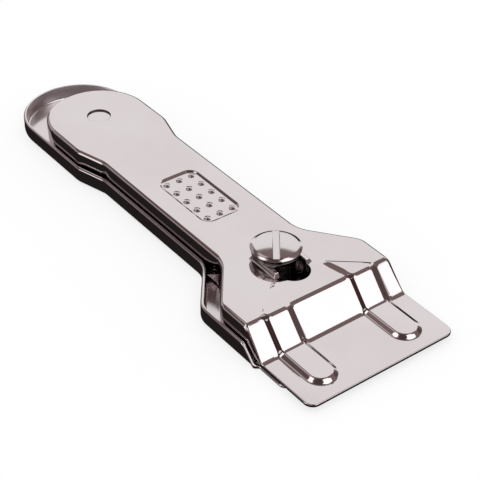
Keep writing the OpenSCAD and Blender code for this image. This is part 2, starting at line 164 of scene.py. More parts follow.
def make_object(name, points, faces):
    """A mesh object from points in millimetres, in the source's frame."""
    co = np.array(points, float)
    co[:, 1] -= OVERALL_L / 2
    mesh = bpy.data.meshes.new(name)
    mesh.from_pydata((co * MM).tolist(), [], faces)
    mesh.validate()
    shape = bmesh.new()
    shape.from_mesh(mesh)
    bmesh.ops.recalc_face_normals(shape, faces=shape.faces)
    shape.to_mesh(mesh)
    shape.free()
    obj = bpy.data.objects.new(name, mesh)
    bpy.context.scene.collection.objects.link(obj)
    return obj


def smooth(obj, angle=32):
    """Smooth shading, with sharp edges where the faces turn by more than the angle."""
    mesh = obj.data
    mesh.polygons.foreach_set("use_smooth", [True] * len(mesh.polygons))
    mesh.set_sharp_from_angle(angle=math.radians(angle))
    return obj


def boolean(obj, other, operation):
    """Applies a boolean with another object, which is then removed."""
    modifier = obj.modifiers.new("cut", "BOOLEAN")
    modifier.operation, modifier.object, modifier.solver = operation, other, "EXACT"
    graph = bpy.context.evaluated_depsgraph_get()
    graph.update()
    cut = bpy.data.meshes.new_from_object(obj.evaluated_get(graph))
    obj.modifiers.clear()
    old, obj.data = obj.data, cut
    bpy.data.meshes.remove(old)
    cut.name = obj.name
    bpy.data.objects.remove(other)


def prism(name, outlines, low, high):
    """Closed prisms with the given outlines, which run anticlockwise."""
    points, faces = [], []
    for outline in outlines:
        n, start = len(outline), len(points)
        points += [(x, y, low) for x, y in outline] + [(x, y, high) for x, y in outline]
        faces += [[start + i for i in range(n - 1, -1, -1)], [start + n + i for i in range(n)]]
        faces += [[start + i, start + (i + 1) % n, start + n + (i + 1) % n, start + n + i]
                  for i in range(n)]
    return make_object(name, points, faces)


def tube(name, rows):
    """A closed solid through rows of equally many points, capped at both ends."""
    n = len(rows[0])
    faces = [[r * n + i, r * n + (i + 1) % n, (r + 1) * n + (i + 1) % n, (r + 1) * n + i]
             for r in range(len(rows) - 1) for i in range(n)]
    faces += [list(range(n))[::-1], [(len(rows) - 1) * n + i for i in range(n)]]
    return make_object(name, [point for row in rows for point in row], faces)


def circle(x, y, radius, steps=96, start=0, turn=360):
    """Points of a circle, or of a part of one that starts and turns by the given angles."""
    ends = 0 if turn == 360 else 1
    return [(x + radius * math.cos(math.radians(start + turn * i / steps)),
             y + radius * math.sin(math.radians(start + turn * i / steps)))
            for i in range(steps + ends)]


def lathe(name, profile, x, y, steps=96):
    """A closed solid of revolution from a closed profile of (radius, z), upwards on its outside.
    Points of radius 0 become one point."""
    points, rings = [], []
    for radius, z in profile:
        if radius == 0:
            rings.append([len(points)] * steps)
            points.append((x, y, z))
        else:
            rings.append(list(range(len(points), len(points) + steps)))
            points += [(px, py, z) for px, py in circle(x, y, radius, steps)]
    faces = []
    for a, b in zip(rings, rings[1:] + rings[:1]):
        for i in range(steps):
            j = (i + 1) % steps
            face = list(dict.fromkeys([a[i], a[j], b[j], b[i]]))
            if len(face) > 2:
                faces.append(face)
    return make_object(name, points, faces)


def arc(cx, cz, radius, start, end, steps):
    """Points (radius, z) of an arc round a centre, between two angles."""
    return [(cx + radius * math.cos(math.radians(start + (end - start) * i / steps)),
             cz + radius * math.sin(math.radians(start + (end - start) * i / steps)))
            for i in range(steps + 1)]


def ramp(t, soft=0.16):
    """0 below t = 0 and 1 above t = 1, a straight slope with rounded ends between them."""
    t = np.asarray(t, float)
    low = np.where(t < -soft, 0, (t + soft) ** 2 / (4 * soft))
    high = np.where(t > 1 + soft, 1, 1 - (1 + soft - t) ** 2 / (4 * soft))
    return np.where(t < soft, low, np.where(t > 1 - soft, high, t))


def smoothstep(t):
    """0 below t = 0 and 1 above t = 1, with a soft rise between them."""
    t = np.clip(t, 0, 1)
    return t * t * (3 - 2 * t)


# Outline of both shells

def tangent_l(radius, turn):
    """Length from a corner to the start of the arc that rounds it."""
    return radius * math.tan(math.radians(turn) / 2)


def corner_arcs(back, ahead, rear):
    """Corners of the right side, front to back: centre, radius, first and last angle, and steps. The
    tray's lie further back at the head, further ahead at the round end's taper, and its round end
    lies further to the rear. The last arc stops just short of the middle, where the shell is closed."""
    return [
        ((PLATE_W / 2 - HEAD_CORNER_R, FLARE_Y + back - tangent_l(HEAD_CORNER_R, FLARE_TURN)),
         HEAD_CORNER_R, 0, FLARE_TURN, 14),
        ((HANDLE_W / 2 + NECK_CORNER_R, NECK_Y + back + tangent_l(NECK_CORNER_R, FLARE_TURN)),
         -NECK_CORNER_R, FLARE_TURN, 0, 16),
        ((HANDLE_W / 2 + TAPER_CORNER_R, TAPER_Y - ahead - tangent_l(TAPER_CORNER_R, TAPER_TURN)),
         -TAPER_CORNER_R, 0, -TAPER_TURN, 8),
        ((BULB_W / 2 - BULB_CORNER_R, BULB_Y - ahead + tangent_l(BULB_CORNER_R, TAPER_TURN)),
         BULB_CORNER_R, -TAPER_TURN, 0, 8),
        ((0, DISC_Y + rear), BULB_W / 2, 0, 88.6, 44),
    ]


def stations(arcs, out=0):
    """Rows of x, y and the outline's normal, along arcs that are grown outwards."""
    rows = []
    for (cx, cy), radius, start, end, steps in arcs:
        for i in range(steps + 1):
            angle = math.radians(start + (end - start) * i / steps)
            nx, ny = math.cos(angle), math.sin(angle)
            rows.append((cx + (radius + out) * nx, cy + (radius + out) * ny, nx, ny))
    return np.array(rows)


def at_rows(outline, inset, wanted):
    """The outline's stations at its own rows and at the wanted places, by the y of the inset edge.
    A wanted place right beside a row of its own is left out."""
    beside = 0.04
    edge_y = outline[:, 1] - inset * outline[:, 3]
    ys = np.concatenate([edge_y, [y for y in wanted if np.min(np.abs(edge_y - y)) > beside]])
    ys = np.unique(ys)
    found = np.stack([np.interp(ys, edge_y, outline[:, k]) for k in range(4)], axis=1)
    found[:, 2:] /= np.linalg.norm(found[:, 2:], axis=1)[:, None]
    return found


def spaced(start, end, step):
    """Even places from start to end, about a step apart."""
    return list(np.linspace(start, end, max(2, int(round((end - start) / step)) + 1)))


def shell(name, rows):
    """A closed shell from rows, front to back. A row is a dict: upper and lower are the points
    inside the rim, left to right; rim is the right rim's points, from the upper edge round to the
    lower edge. lower_at lists the upper columns that the lower columns stand under."""
    points, index = [], []

    def add(p):
        points.append(p)
        return len(points) - 1

    for row in rows:
        upper = [add(p) for p in row["upper"]]
        lower = [add(p) for p in row["lower"]]
        right = [add(p) for p in row["rim"]]
        left = [add((-p[0], p[1], p[2])) for p in row["rim"]]
        index.append((upper, lower, right, left))
    faces = []
    for (ua, la, ra, ta), (ub, lb, rb, tb) in zip(index, index[1:]):
        top_a, top_b = [ta[0], *ua, ra[0]], [tb[0], *ub, rb[0]]
        low_a, low_b = [ta[-1], *la, ra[-1]], [tb[-1], *lb, rb[-1]]
        faces += [[top_a[i], top_a[i + 1], top_b[i + 1], top_b[i]] for i in range(len(top_a) - 1)]
        faces += [[low_a[i + 1], low_a[i], low_b[i], low_b[i + 1]] for i in range(len(low_a) - 1)]
        faces += [[ra[i], ra[i + 1], rb[i + 1], rb[i]] for i in range(len(ra) - 1)]
        faces += [[ta[i + 1], ta[i], tb[i], tb[i + 1]] for i in range(len(ta) - 1)]
    # The front rim, from the upper edge down to the lower one
    upper, lower, right, left = index[0]
    at = rows[0]["lower_at"]
    levels = [[left[0], *upper, right[0]]]
    for k in range(1, len(right) - 1):
        _, y, z = rows[0]["rim"][k]
        levels.append([left[k], *[add((p[0], y, z)) for p in rows[0]["upper"]], right[k]])
    for a, b in zip(levels, levels[1:]):
        faces += [[a[i + 1], a[i], b[i], b[i + 1]] for i in range(len(a) - 1)]
    last, base = levels[-1], [left[-1], *lower, right[-1]]
    stops = [0, *[i + 1 for i in at], len(last) - 1]
    for i in range(len(base) - 1):
        faces.append([*last[stops[i]:stops[i + 1] + 1][::-1], base[i], base[i + 1]])
    # The round end, between the last row's two rims
    upper, lower, right, left = index[-1]
    faces.append([left[0], *upper, right[0], right[1], left[1]])
    faces += [[left[k], right[k], right[k + 1], left[k + 1]] for k in range(1, len(right) - 2)]
    faces.append([left[-2], right[-2], right[-1], *lower[::-1], left[-1]])
    return make_object(name, points, faces)


# The cover

def profile(path):
    """Point (y, z) and slope of the sheet's top, at a place that runs on along the folds."""
    if path <= FOLD_AT:
        return path, PLATE_TOP, 0
    if path <= SLOPE_AT:
        a = (path - FOLD_AT) / FOLD_R
        return FOLD_AT + FOLD_R * math.sin(a), PLATE_TOP + FOLD_R * (1 - math.cos(a)), a
    if path <= CREST_AT:
        d = FOLD_LEAD + path - SLOPE_AT
        return PLATE_L + d * math.cos(STEP_SLOPE), PLATE_TOP + d * math.sin(STEP_SLOPE), STEP_SLOPE
    if path <= CREST_END:
        a = STEP_SLOPE - (path - CREST_AT) / FOLD_R
        return CREST_Y - FOLD_R * math.sin(a), COVER_H - FOLD_R * (1 - math.cos(a)), a
    return CREST_Y + path - CREST_END, COVER_H, 0


def rib_height(x, path, y):
    """Height of the ribs and of the fans that they run out into. A rib's wall bends more softly on
    the plate, and most softly up the step, than round the rib's front end."""
    left_wall = np.sign(x) * (np.abs(x) - RIB_X) < 0
    x = np.abs(x)
    wall_w = RIB_FOOT - RIB_TOP
    if y < CREST_Y + 1e-6 and path < CREST_END:
        away = np.hypot(x - RIB_X, min(0, y - RIB_END_Y))
        on_slope = float(smoothstep((y - PLATE_L + 0.6) / 1.5) * smoothstep((CREST_Y - y) / 1.2))
        on_plate = float(smoothstep((y - RIB_END_Y - 0.3) / 2.5)) * (1 - on_slope)
        soft = 0.08 + 0.1 * on_plate + 0.34 * on_slope
        flare = 0.05 * on_plate * left_wall
        foot = ramp((RIB_FOOT + flare - away) / (wall_w + flare + 0.25 * on_slope), soft)
        fade = float(smoothstep((path - CREST_AT) / (CREST_END - CREST_AT)))
        return foot * (RIB_H + (FAN_H - RIB_H) * fade)
    apex_x, apex_y = FAN_APEX
    run = (y - CREST_Y) / (apex_y - CREST_Y)
    if run >= 1:
        return np.zeros_like(x)
    inner = RIB_X - RIB_FOOT + (apex_x - RIB_X + RIB_FOOT) * run
    outer = RIB_X + RIB_FOOT + (apex_x - RIB_X - RIB_FOOT) * run
    past_crest = float(smoothstep(run / 0.2))
    inner_wall = ramp((x - inner) / (wall_w + 0.3 * past_crest))
    outer_wall = ramp((outer - x) / (wall_w - 0.6 * past_crest))
    return np.minimum(inner_wall, outer_wall) * FAN_H * (1 - run) ** 0.2


def lip_height(x, y):
    """Height of the raised lips along both sides of the slot, with steep ends."""
    end_soft = 0.05
    side = ramp((SLOT_R + LIP_W + LIP_SLOPE_W - np.abs(x)) / LIP_SLOPE_W)
    ends = ramp((y - SLOT_FRONT) / LIP_END_L, end_soft) * ramp((SLOT_REAR - y) / LIP_END_L, end_soft)
    return LIP_H * np.minimum(side, ends)


def pad_height(x, y, with_bumps):
    """Height of the sunk pad, below 0, with the grip bumps that only its upper side shows."""
    ax, ay = np.abs(x) - (PAD_W / 2 - PAD_R), abs(y - PAD_Y) - (PAD_L / 2 - PAD_R)
    away = np.hypot(np.maximum(ax, 0), max(ay, 0)) + np.minimum(np.maximum(ax, ay), 0) - PAD_R
    height = -PAD_DEPTH * ramp((0.1 - away) / PAD_WALL_W)
    if with_bumps:
        for i in range(BUMPS_ACROSS):
            for j in range(BUMPS_ALONG):
                bx = (i - (BUMPS_ACROSS - 1) / 2) * PAD_W / BUMPS_ACROSS
                by = PAD_Y + (j - (BUMPS_ALONG - 1) / 2) * PAD_L / BUMPS_ALONG
                near = np.clip(1 - ((x - bx) ** 2 + (y - by) ** 2) / (BUMP_D / 2) ** 2, 0, 1)
                height = height + BUMP_H * near ** 1.3
    return height


# The mesh's columns across half the cover, close together over the slot's lips and over the ribs
HEAD_EDGE = PLATE_W / 2 - BEND_R
HANDLE_EDGE = HANDLE_W / 2 - BEND_R
half_columns = np.array(
    spaced(0, 4, 0.27) + spaced(4, 6.6, 0.13)[1:] + spaced(6.6, 8.6, 0.7)[1:]
    + spaced(8.6, 17.8, 0.2)[1:] + spaced(17.8, HEAD_EDGE, 0.9)[1:-1] + [HEAD_EDGE - 0.1])
columns = np.concatenate([-half_columns[:0:-1], half_columns])
lower_at = list(range(0, len(columns), 3))


def spread(edge):
    """The columns' places in a row whose edge is that far from the middle."""
    shown = max(edge, HANDLE_EDGE)
    knee = min(18, 0.95 * shown)
    x = np.abs(columns)
    x = np.where(x <= knee, x, knee + (x - knee) * (shown - knee) / (HEAD_EDGE - knee))
    return np.sign(columns) * x * (edge / shown)


def cover_rim(station, z, slope):
    """The skirt's section, from the top's edge down round its foot to the underside's edge. Towards
    the plate its bend gets sharper and the skirt shorter."""
    px, py, nx, ny = station
    edge = 0.15
    share = (z - PLATE_TOP) / (COVER_H - PLATE_TOP)
    radius = PLATE_EDGE_R + (BEND_R - PLATE_EDGE_R) * share ** 0.5
    inner_r = max(radius - SHEET_T, edge)
    low = PLATE_UNDER + (SKIRT_Z - PLATE_UNDER) * share
    under = z - SHEET_T * math.cos(slope)
    foot = min(SHEET_T, max(0.5 * SHEET_T, under - inner_r - low))
    inner_edge = min(edge, max(0, under - inner_r - low))
    outside = [(-radius * (1 - math.sin(a)), z - radius * (1 - math.cos(a)))
               for a in np.radians(np.linspace(0, 90, 9))]
    outside += [(-edge * (1 - math.cos(a)), low + edge * (1 - math.sin(a)))
                for a in np.radians(np.linspace(0, 90, 3))]
    outside += [(-foot + edge, low), (-foot + edge * 0.3, low + inner_edge * 0.3),
                (-foot, low + inner_edge)]
    inside = [(-SHEET_T - inner_r * (1 - math.sin(a)), max(low, under - inner_r * (1 - math.cos(a))))
              for a in np.radians(np.linspace(90, 0, 6))]
    back = SHEET_T * math.sin(slope)
    return ([(px + out * nx, py + out * ny, height) for out, height in outside]
            + [(px + out * nx, py + out * ny + back, height) for out, height in inside])


def round_edge(radius):
    """Points (outwards, upwards) of the flare by which a cutter rounds the upper edge of its cut. It
    stops short of the flat, which it would only graze."""
    return [(radius * (1 - math.cos(a)), radius * (math.sin(a) - 1))
            for a in np.radians(np.linspace(0, 78, 6))]


def slot_cutter():
    """What the slot takes out of the cover, flared at the top, where it follows the lips."""
    sides = (spaced(0.05, LIP_END_L + 0.1, 0.05) + spaced(1, SLOT_L - 1, 1.2)
             + spaced(SLOT_L - LIP_END_L - 0.1, SLOT_L - 0.05, 0.05))

    def outline(out):
        return (circle(0, SLOT_FRONT, SLOT_R + out, 48, 180, 180)
                + [(SLOT_R + out, SLOT_FRONT + t) for t in sides]
                + circle(0, SLOT_REAR, SLOT_R + out, 48, 0, 180)
                + [(-SLOT_R - out, SLOT_REAR - t) for t in sides])

    low, high, flare = 5, 14, round_edge(SLOT_EDGE_R)
    rows = [[(x, y, low) for x, y in outline(0)]]
    rows += [[(x, y, z + (COVER_H + float(lip_height(x, y)))) for x, y in outline(out)]
             for out, z in flare]
    rows.append([(x, y, high) for x, y in outline(flare[-1][0])])
    return tube("cutter", rows)


def pierce_disc(cover):
    """Half-pierces the disc, with a boss below the sheet and a round edge above."""
    radius, under = DISC_D / 2, COVER_H - SHEET_T
    boss = [(0, under - DISC_DEPTH), (radius - 0.1, under - DISC_DEPTH),
            (radius, under - DISC_DEPTH + 0.1), (radius, under + 0.2), (0, under + 0.2)]
    sunk = ([(0, COVER_H - DISC_DEPTH), (radius, COVER_H - DISC_DEPTH)]
            + [(radius + out, COVER_H + z) for out, z in round_edge(DISC_EDGE_R)]
            + [(radius + DISC_EDGE_R * 0.8, COVER_H + 1), (0, COVER_H + 1)])
    boolean(cover, lathe("boss", boss, 0, DISC_Y), "UNION")
    boolean(cover, lathe("sunk", sunk, 0, DISC_Y), "DIFFERENCE")


def build_cover():
    rows = []

    def add(station, path):
        y, z, slope = profile(path)
        rim = cover_rim(station, z, slope)
        x = spread(rim[0][0])
        raised = rib_height(x, path, y) + lip_height(x, y)
        above = raised + pad_height(x, y, True)
        upper_y = y - above * math.sin(slope) if slope else np.full_like(x, rim[0][1])
        upper = np.stack([x, upper_y, z + above * math.cos(slope)], axis=1)
        below = (raised + pad_height(x, y, False))[lower_at]
        lower = np.stack([spread(rim[-1][0])[lower_at], rim[-1][1] - below * math.sin(slope),
                          z - SHEET_T * math.cos(slope) + below * math.cos(slope)], axis=1)
        rows.append({"upper": upper.tolist(), "lower": lower.tolist(), "rim": rim,
                     "lower_at": lower_at})

    # The plate's rounded corners, then its length with the ribs' ends, and the step between its folds
    corner = stations([((PLATE_W / 2 - PLATE_CORNER_R, PLATE_CORNER_R), PLATE_CORNER_R, -90, 0, 12)])
    for s in corner:
        add(s, s[1] - PLATE_EDGE_R * s[3])
    rib_front, rib_back = RIB_END_Y - RIB_FOOT - 0.2, RIB_END_Y + 0.3
    beside, fine = 0.12, 0.13
    places = (spaced(PLATE_CORNER_R, rib_front, 0.5)[1:] + spaced(rib_front, rib_back, 0.22)[1:]
              + spaced(rib_back, FOLD_AT - beside, 2)[1:] + spaced(FOLD_AT, SLOPE_AT, fine)
              + [SLOPE_AT + beside, (SLOPE_AT + CREST_AT) / 2, CREST_AT - beside]
              + spaced(CREST_AT, CREST_END, fine) + [CREST_END + beside])
    for path in places:
        add((PLATE_W / 2, profile(path)[0], 1, 0), path)

    # The flat top, with rows close together at the fans, the lips' ends, the pad and the disc
    first = np.array([[PLATE_W / 2, CREST_Y + 0.2, 1, 0]])
    outline = np.concatenate([first, stations(corner_arcs(0, 0, 0))])
    wanted = (spaced(CREST_Y + 0.35, SLOT_FRONT - 0.35, 0.3)
              + spaced(SLOT_FRONT - 0.15, SLOT_FRONT + 0.65, 0.05)
              + spaced(SLOT_FRONT + 1.75, SLOT_REAR - 1.4, 1.2)
              + spaced(SLOT_REAR - 0.6, SLOT_REAR + 0.2, 0.05)
              + spaced(SLOT_REAR + 1.1, PAD_Y - 12.4, 3)
              + spaced(PAD_Y - 11.9, PAD_Y + 11.9, 0.265)
              + spaced(PAD_Y + 13.1, TAPER_Y - 1.2, 4) + spaced(BULB_Y + 1.2, DISC_Y - 4.6, 3)
              + spaced(DISC_Y - 3.6, DISC_Y + 3.6, 1.2))
    for s in at_rows(outline, BEND_R, wanted):
        add(s, s[1] - BEND_R * s[3] - CREST_Y + CREST_END)

    cover = shell("upper_cover_pressing", rows)
    boolean(cover, slot_cutter(), "DIFFERENCE")
    pierce_disc(cover)
    return smooth(cover)


# The tray

def tray_rim(station, high):
    """The wall's section, from the floor's inside up over the rim and down to the underside."""
    px, py, nx, ny = station
    outer_r = min(TRAY_BEND_R, max(0.25, high - 0.4))
    inner_r = min(TRAY_BEND_R - SHEET_T, max(0.1, outer_r - SHEET_T))
    inner_edge, outer_edge = 0.08, 0.5
    lift = max(0, min(inner_edge, high - SHEET_T - inner_r))
    drop = min(outer_edge, high - outer_r)
    section = [(-SHEET_T - inner_r * (1 - math.sin(a)), min(high, SHEET_T + inner_r * (1 - math.cos(a))))
               for a in np.radians(np.linspace(0, 90, 7))]
    section += [(-SHEET_T + inner_edge * (1 - math.cos(a)), high - lift * (1 - math.sin(a)))
                for a in np.radians((15, 45, 90))]
    section += [(-outer_edge + outer_edge * math.sin(a), high - drop * (1 - math.cos(a)))
                for a in np.radians(np.linspace(0, 90, 7))]
    section += [(-outer_r * (1 - math.cos(a)), outer_r * (1 - math.sin(a)))
                for a in np.radians(np.linspace(0, 90, 9))]
    return [(px + out * nx, py + out * ny, z) for out, z in section]


def build_stud(side):
    """A pressed stud that holds the blade, with a fillet round its foot."""
    radius, foot_r, top = STUD_D / 2, STUD_D / 2 + STUD_FILLET_R, SHEET_T + STUD_H
    section = ([(0, SHEET_T / 2), (foot_r, SHEET_T / 2), (foot_r, SHEET_T)]
               + arc(foot_r, SHEET_T + STUD_FILLET_R, STUD_FILLET_R, 270, 180, 4)[1:]
               + arc(radius - STUD_EDGE_R, top - STUD_EDGE_R, STUD_EDGE_R, 0, 90, 5) + [(0, top)])
    return lathe("stud", section, side * RIB_X, STUD_Y, 64)


def build_tray():
    rows = []
    half = np.array([0, 0.12, 0.25, 0.4, 0.55, 0.7, 0.85])
    shares = np.concatenate([-half[:0:-1], half])

    def add(station, high):
        rim = tray_rim(station, high)
        rows.append({"upper": [(rim[0][0] * k, rim[0][1], SHEET_T) for k in shares],
                     "lower": [(rim[-1][0] * k, rim[-1][1], 0) for k in shares],
                     "rim": rim, "lower_at": range(len(shares))})

    # The tongue's rounded corners, then where it widens and its wall rises
    corner = stations([((TONGUE_W / 2 - TONGUE_CORNER_R, TONGUE_Y + TONGUE_CORNER_R),
                        TONGUE_CORNER_R, -90, 0, 10)])
    for s in corner:
        add(s, SHEET_T)
    wide = PLATE_W / 2 + TRAY_OUT
    for y in [WALL_Y - 4.9, WALL_Y - 1.9] + spaced(WALL_Y - 1, WALL_Y + 5.6, 0.25):
        widened = float(smoothstep((y - WALL_Y + 0.9) / 1.2))
        risen = float(ramp((y - WALL_Y) / WALL_RUN, 0.12))
        add((TONGUE_W / 2 + (wide - TONGUE_W / 2) * widened, y, 1, 0),
            SHEET_T + (TRAY_H - SHEET_T) * risen)

    # The wall at its full height, round the outline
    outline = np.concatenate([np.array([[wide, WALL_Y + 6.1, 1, 0]]),
                              stations(corner_arcs(TRAVEL_BACK, TRAVEL_AHEAD, REAR_ROOM), TRAY_OUT)])
    wanted = spaced(WALL_Y + 8.1, WALL_Y + 18.1, 2) + spaced(NECK_Y + 8, TAPER_Y - 4.2, 4)
    for s in at_rows(outline, TRAY_BEND_R, wanted):
        add(s, TRAY_H)

    tray = shell("lower_tray_pressing", rows)
    for side in (-1, 1):
        boolean(tray, build_stud(side), "UNION")
    hole = circle(0, SCREW_Y, SPIGOT_R + SPIGOT_GAP)
    boolean(tray, prism("cutter", [hole], -1, 3), "DIFFERENCE")
    hollows = [circle(side * RIB_X, STUD_Y, STUD_HOLLOW_R, 48) for side in (-1, 1)]
    boolean(tray, prism("cutter", hollows, -1, STUD_H), "DIFFERENCE")
    return smooth(tray)


# Screw, washer and post

def dome_height(r):
    """Height of the head's top above its rim: a flat dome that curls down to a steeper edge."""
    if r <= DOME_CURL_R:
        return DOME_H - r * r / (2 * DOME_R)
    curl_h = DOME_H - DOME_CURL_R ** 2 / (2 * DOME_R)
    curl_w = SCREW_D / 2 - DOME_CURL_R
    slope = math.tan(math.asin(DOME_CURL_R / DOME_R))
    t = (r - DOME_CURL_R) / curl_w
    return curl_h - slope * curl_w * t - (curl_h - slope * curl_w) * t * t


def driver_cutter():
    """What the driver's slot takes out of the head. It follows the dome, so that both of the slot's
    edges get an even chamfer."""
    turn, half, chamfer = math.radians(DRIVER_ANGLE), DRIVER_W / 2, DRIVER_CHAMFER
    reach, floor_z = 8, SCREW_TOP - DRIVER_DEPTH
    rows = []
    for t in np.linspace(-reach, reach, 65):
        surface = max(RIM_TOP + dome_height(min(abs(t), SCREW_D / 2)), floor_z + 0.2)
        side = [(half - 0.12, floor_z), (half, floor_z + 0.1), (half, surface - 0.6 * chamfer),
                (half + 2 * chamfer, surface + chamfer), (half + 2 * chamfer, surface + 3)]
        section = [(-w, z) for w, z in side] + side[::-1]
        rows.append([(t * math.cos(turn) - w * math.sin(turn),
                      SCREW_Y + t * math.sin(turn) + w * math.cos(turn), z) for w, z in section])
    return tube("cutter", rows)


def build_shank():
    """The threaded shank: a cylinder with a helical groove that runs out at both ends."""
    steps, rows_per_turn, run_out = 48, 12, 0.9
    low, high = SHEET_T, HEAD_Z + 0.4
    count = rows_per_turn * int((high - low) / THREAD_PITCH)
    rows = []
    for r in range(count + 1):
        z = low + (high - low) * r / count
        lead_in = float(smoothstep((z - low) / run_out) * smoothstep((high - run_out - z) / 0.5))
        full_r = SHANK_D / 2 - max(0, low + 0.3 - z)
        row = []
        for i in range(steps):
            phase = (z / THREAD_PITCH - i / steps) % 1
            groove = float(ramp(1 - abs(2 * phase - 1) * 1.25, 0.1)) * THREAD_DEPTH * lead_in
            a = 2 * math.pi * i / steps
            row.append(((full_r - groove) * math.cos(a), SCREW_Y + (full_r - groove) * math.sin(a), z))
        rows.append(row)
    return tube("shank", rows)


def build_screw():
    radius, seat_r = SCREW_D / 2, SEAT_D / 2
    # The seat, the cone and the rim, each with its edges broken
    side = [(0, HEAD_Z + 0.3), (SHANK_D / 2 - 0.5, HEAD_Z), (SHANK_D / 2 + 0.15, HEAD_Z),
            (seat_r - 0.1, HEAD_Z), (seat_r, HEAD_Z + 0.05), (radius - 0.05, CONE_TOP - 0.03),
            (radius, CONE_TOP + 0.03), (radius, RIM_TOP - 0.04)]
    top = [(r, RIM_TOP + dome_height(r)) for r in
           [*np.linspace(radius - 0.02, DOME_CURL_R, 16), *np.linspace(DOME_CURL_R - 0.1, 0.4, 22), 0]]
    screw = lathe("clamp_screw_turned", side + top, 0, SCREW_Y, 128)
    boolean(screw, driver_cutter(), "DIFFERENCE")
    boolean(screw, build_shank(), "UNION")
    return smooth(screw, 28)


def build_washer():
    outer, inner, edge = WASHER_D / 2, SHANK_D / 2 + 0.3, 0.13
    low, high = WASHER_Z, WASHER_Z + WASHER_T
    section = (arc(outer - edge, low + edge, edge, -90, 0, 4)
               + arc(outer - edge, high - edge, edge, 0, 90, 4)
               + arc(inner + edge, high - edge, edge, 90, 180, 4)
               + arc(inner + edge, low + edge, edge, 180, 270, 4))
    return smooth(lathe("clamp_washer_pressed", section, 0, SCREW_Y, 128))


def build_post():
    bore, outer, edge = SHANK_D / 2 + SHANK_GAP, POST_D / 2, 0.25
    section = ([(bore + edge, 0), (SPIGOT_R - 0.12, 0), (SPIGOT_R, 0.12), (SPIGOT_R, SHEET_T),
                (outer - 0.1, SHEET_T), (outer, SHEET_T + 0.1)]
               + arc(outer - edge, POST_TOP - edge, edge, 0, 90, 4)
               + [(bore + 0.3, POST_TOP), (bore, POST_TOP - 0.3), (bore, edge)])
    return smooth(lathe("threaded_post_turned", section, 0, SCREW_Y, 96))


cover = build_cover()
tray = build_tray()
screw = build_screw()
washer = build_washer()
post = build_post()


# Materials

class Nodes:
    """Short calls to make a material's nodes."""

    def __init__(self, name):
        self.material = bpy.data.materials.new(name)
        self.material.use_nodes = True
        self.tree = self.material.node_tree
        self.shader = self.tree.nodes["Principled BSDF"]
        self.place = self.new("ShaderNodeTexCoord").outputs["Object"]

    def new(self, kind, **values):
        node = self.tree.nodes.new(kind)
        for key, value in values.items():
            setattr(node, key, value)
        return node

    def link(self, a, b):
        self.tree.links.new(a, b)

    def stretched(self, scale, turn=(0, 0, 0)):
        """The place on the piece, scaled and turned for a texture with a grain."""
        node = self.new("ShaderNodeMapping")
        node.inputs["Scale"].default_value = scale
        node.inputs["Rotation"].default_value = turn
        self.link(self.place, node.inputs["Vector"])
        return node.outputs["Vector"]

    def noise(self, scale, detail=2, rough=0.5, vector=None):
        node = self.new("ShaderNodeTexNoise")
        node.inputs["Scale"].default_value = scale
        node.inputs["Detail"].default_value = detail
        node.inputs["Roughness"].default_value = rough
        self.link(vector or self.place, node.inputs["Vector"])
        return node.outputs["Fac"]

    def span(self, value, low, high, to_low, to_high):
        """The value's run from low to high, mapped to another run and clamped to it."""
        node = self.new("ShaderNodeMapRange")
        for key, number in (("From Min", low), ("From Max", high), ("To Min", to_low),
                            ("To Max", to_high)):
            node.inputs[key].default_value = number
        self.link(value, node.inputs["Value"])
        return node.outputs["Result"]

    def math(self, operation, a, b):
        node = self.new("ShaderNodeMath", operation=operation)
        for socket, value in zip(node.inputs, (a, b)):
            if isinstance(value, (int, float)):
                socket.default_value = value
            else:
                self.link(value, socket)
        return node.outputs["Value"]

    def colour(self, value, first, second):
        """Base colour that goes from the first to the second colour as the value goes from 0 to 1."""
        node = self.new("ShaderNodeMix", data_type="RGBA")
        node.inputs[6].default_value = (*first, 1)
        node.inputs[7].default_value = (*second, 1)
        self.link(value, node.inputs[0])
        self.link(node.outputs[2], self.shader.inputs["Base Color"])
        return node.outputs[2]

    def bump(self, height, distance, normal=None):
        node = self.new("ShaderNodeBump")
        node.inputs["Strength"].default_value = 1
        node.inputs["Distance"].default_value = distance
        self.link(height, node.inputs["Height"])
        if normal is not None:
            self.link(normal, node.inputs["Normal"])
        self.link(node.outputs["Normal"], self.shader.inputs["Normal"])
        return node.outputs["Normal"]


def ring_mask(m, place, ring, low):
    """1 in a ring round a vertical axis, above the height low, and 0 elsewhere. The ring is given by
    its centre in y and its two radii, in metres."""
    centre_y, inner, outer = ring
    along = m.math("SUBTRACT", place["Y"], centre_y)
    squares = m.math("ADD", m.math("MULTIPLY", place["X"], place["X"]), m.math("MULTIPLY", along, along))
    away = m.math("SQRT", squares, 0)
    within = m.math("MULTIPLY", m.math("GREATER_THAN", away, inner), m.math("LESS_THAN", away, outer))
    return m.math("MULTIPLY", within, m.span(place["Z"], low, low + 1 * MM, 0, 1))


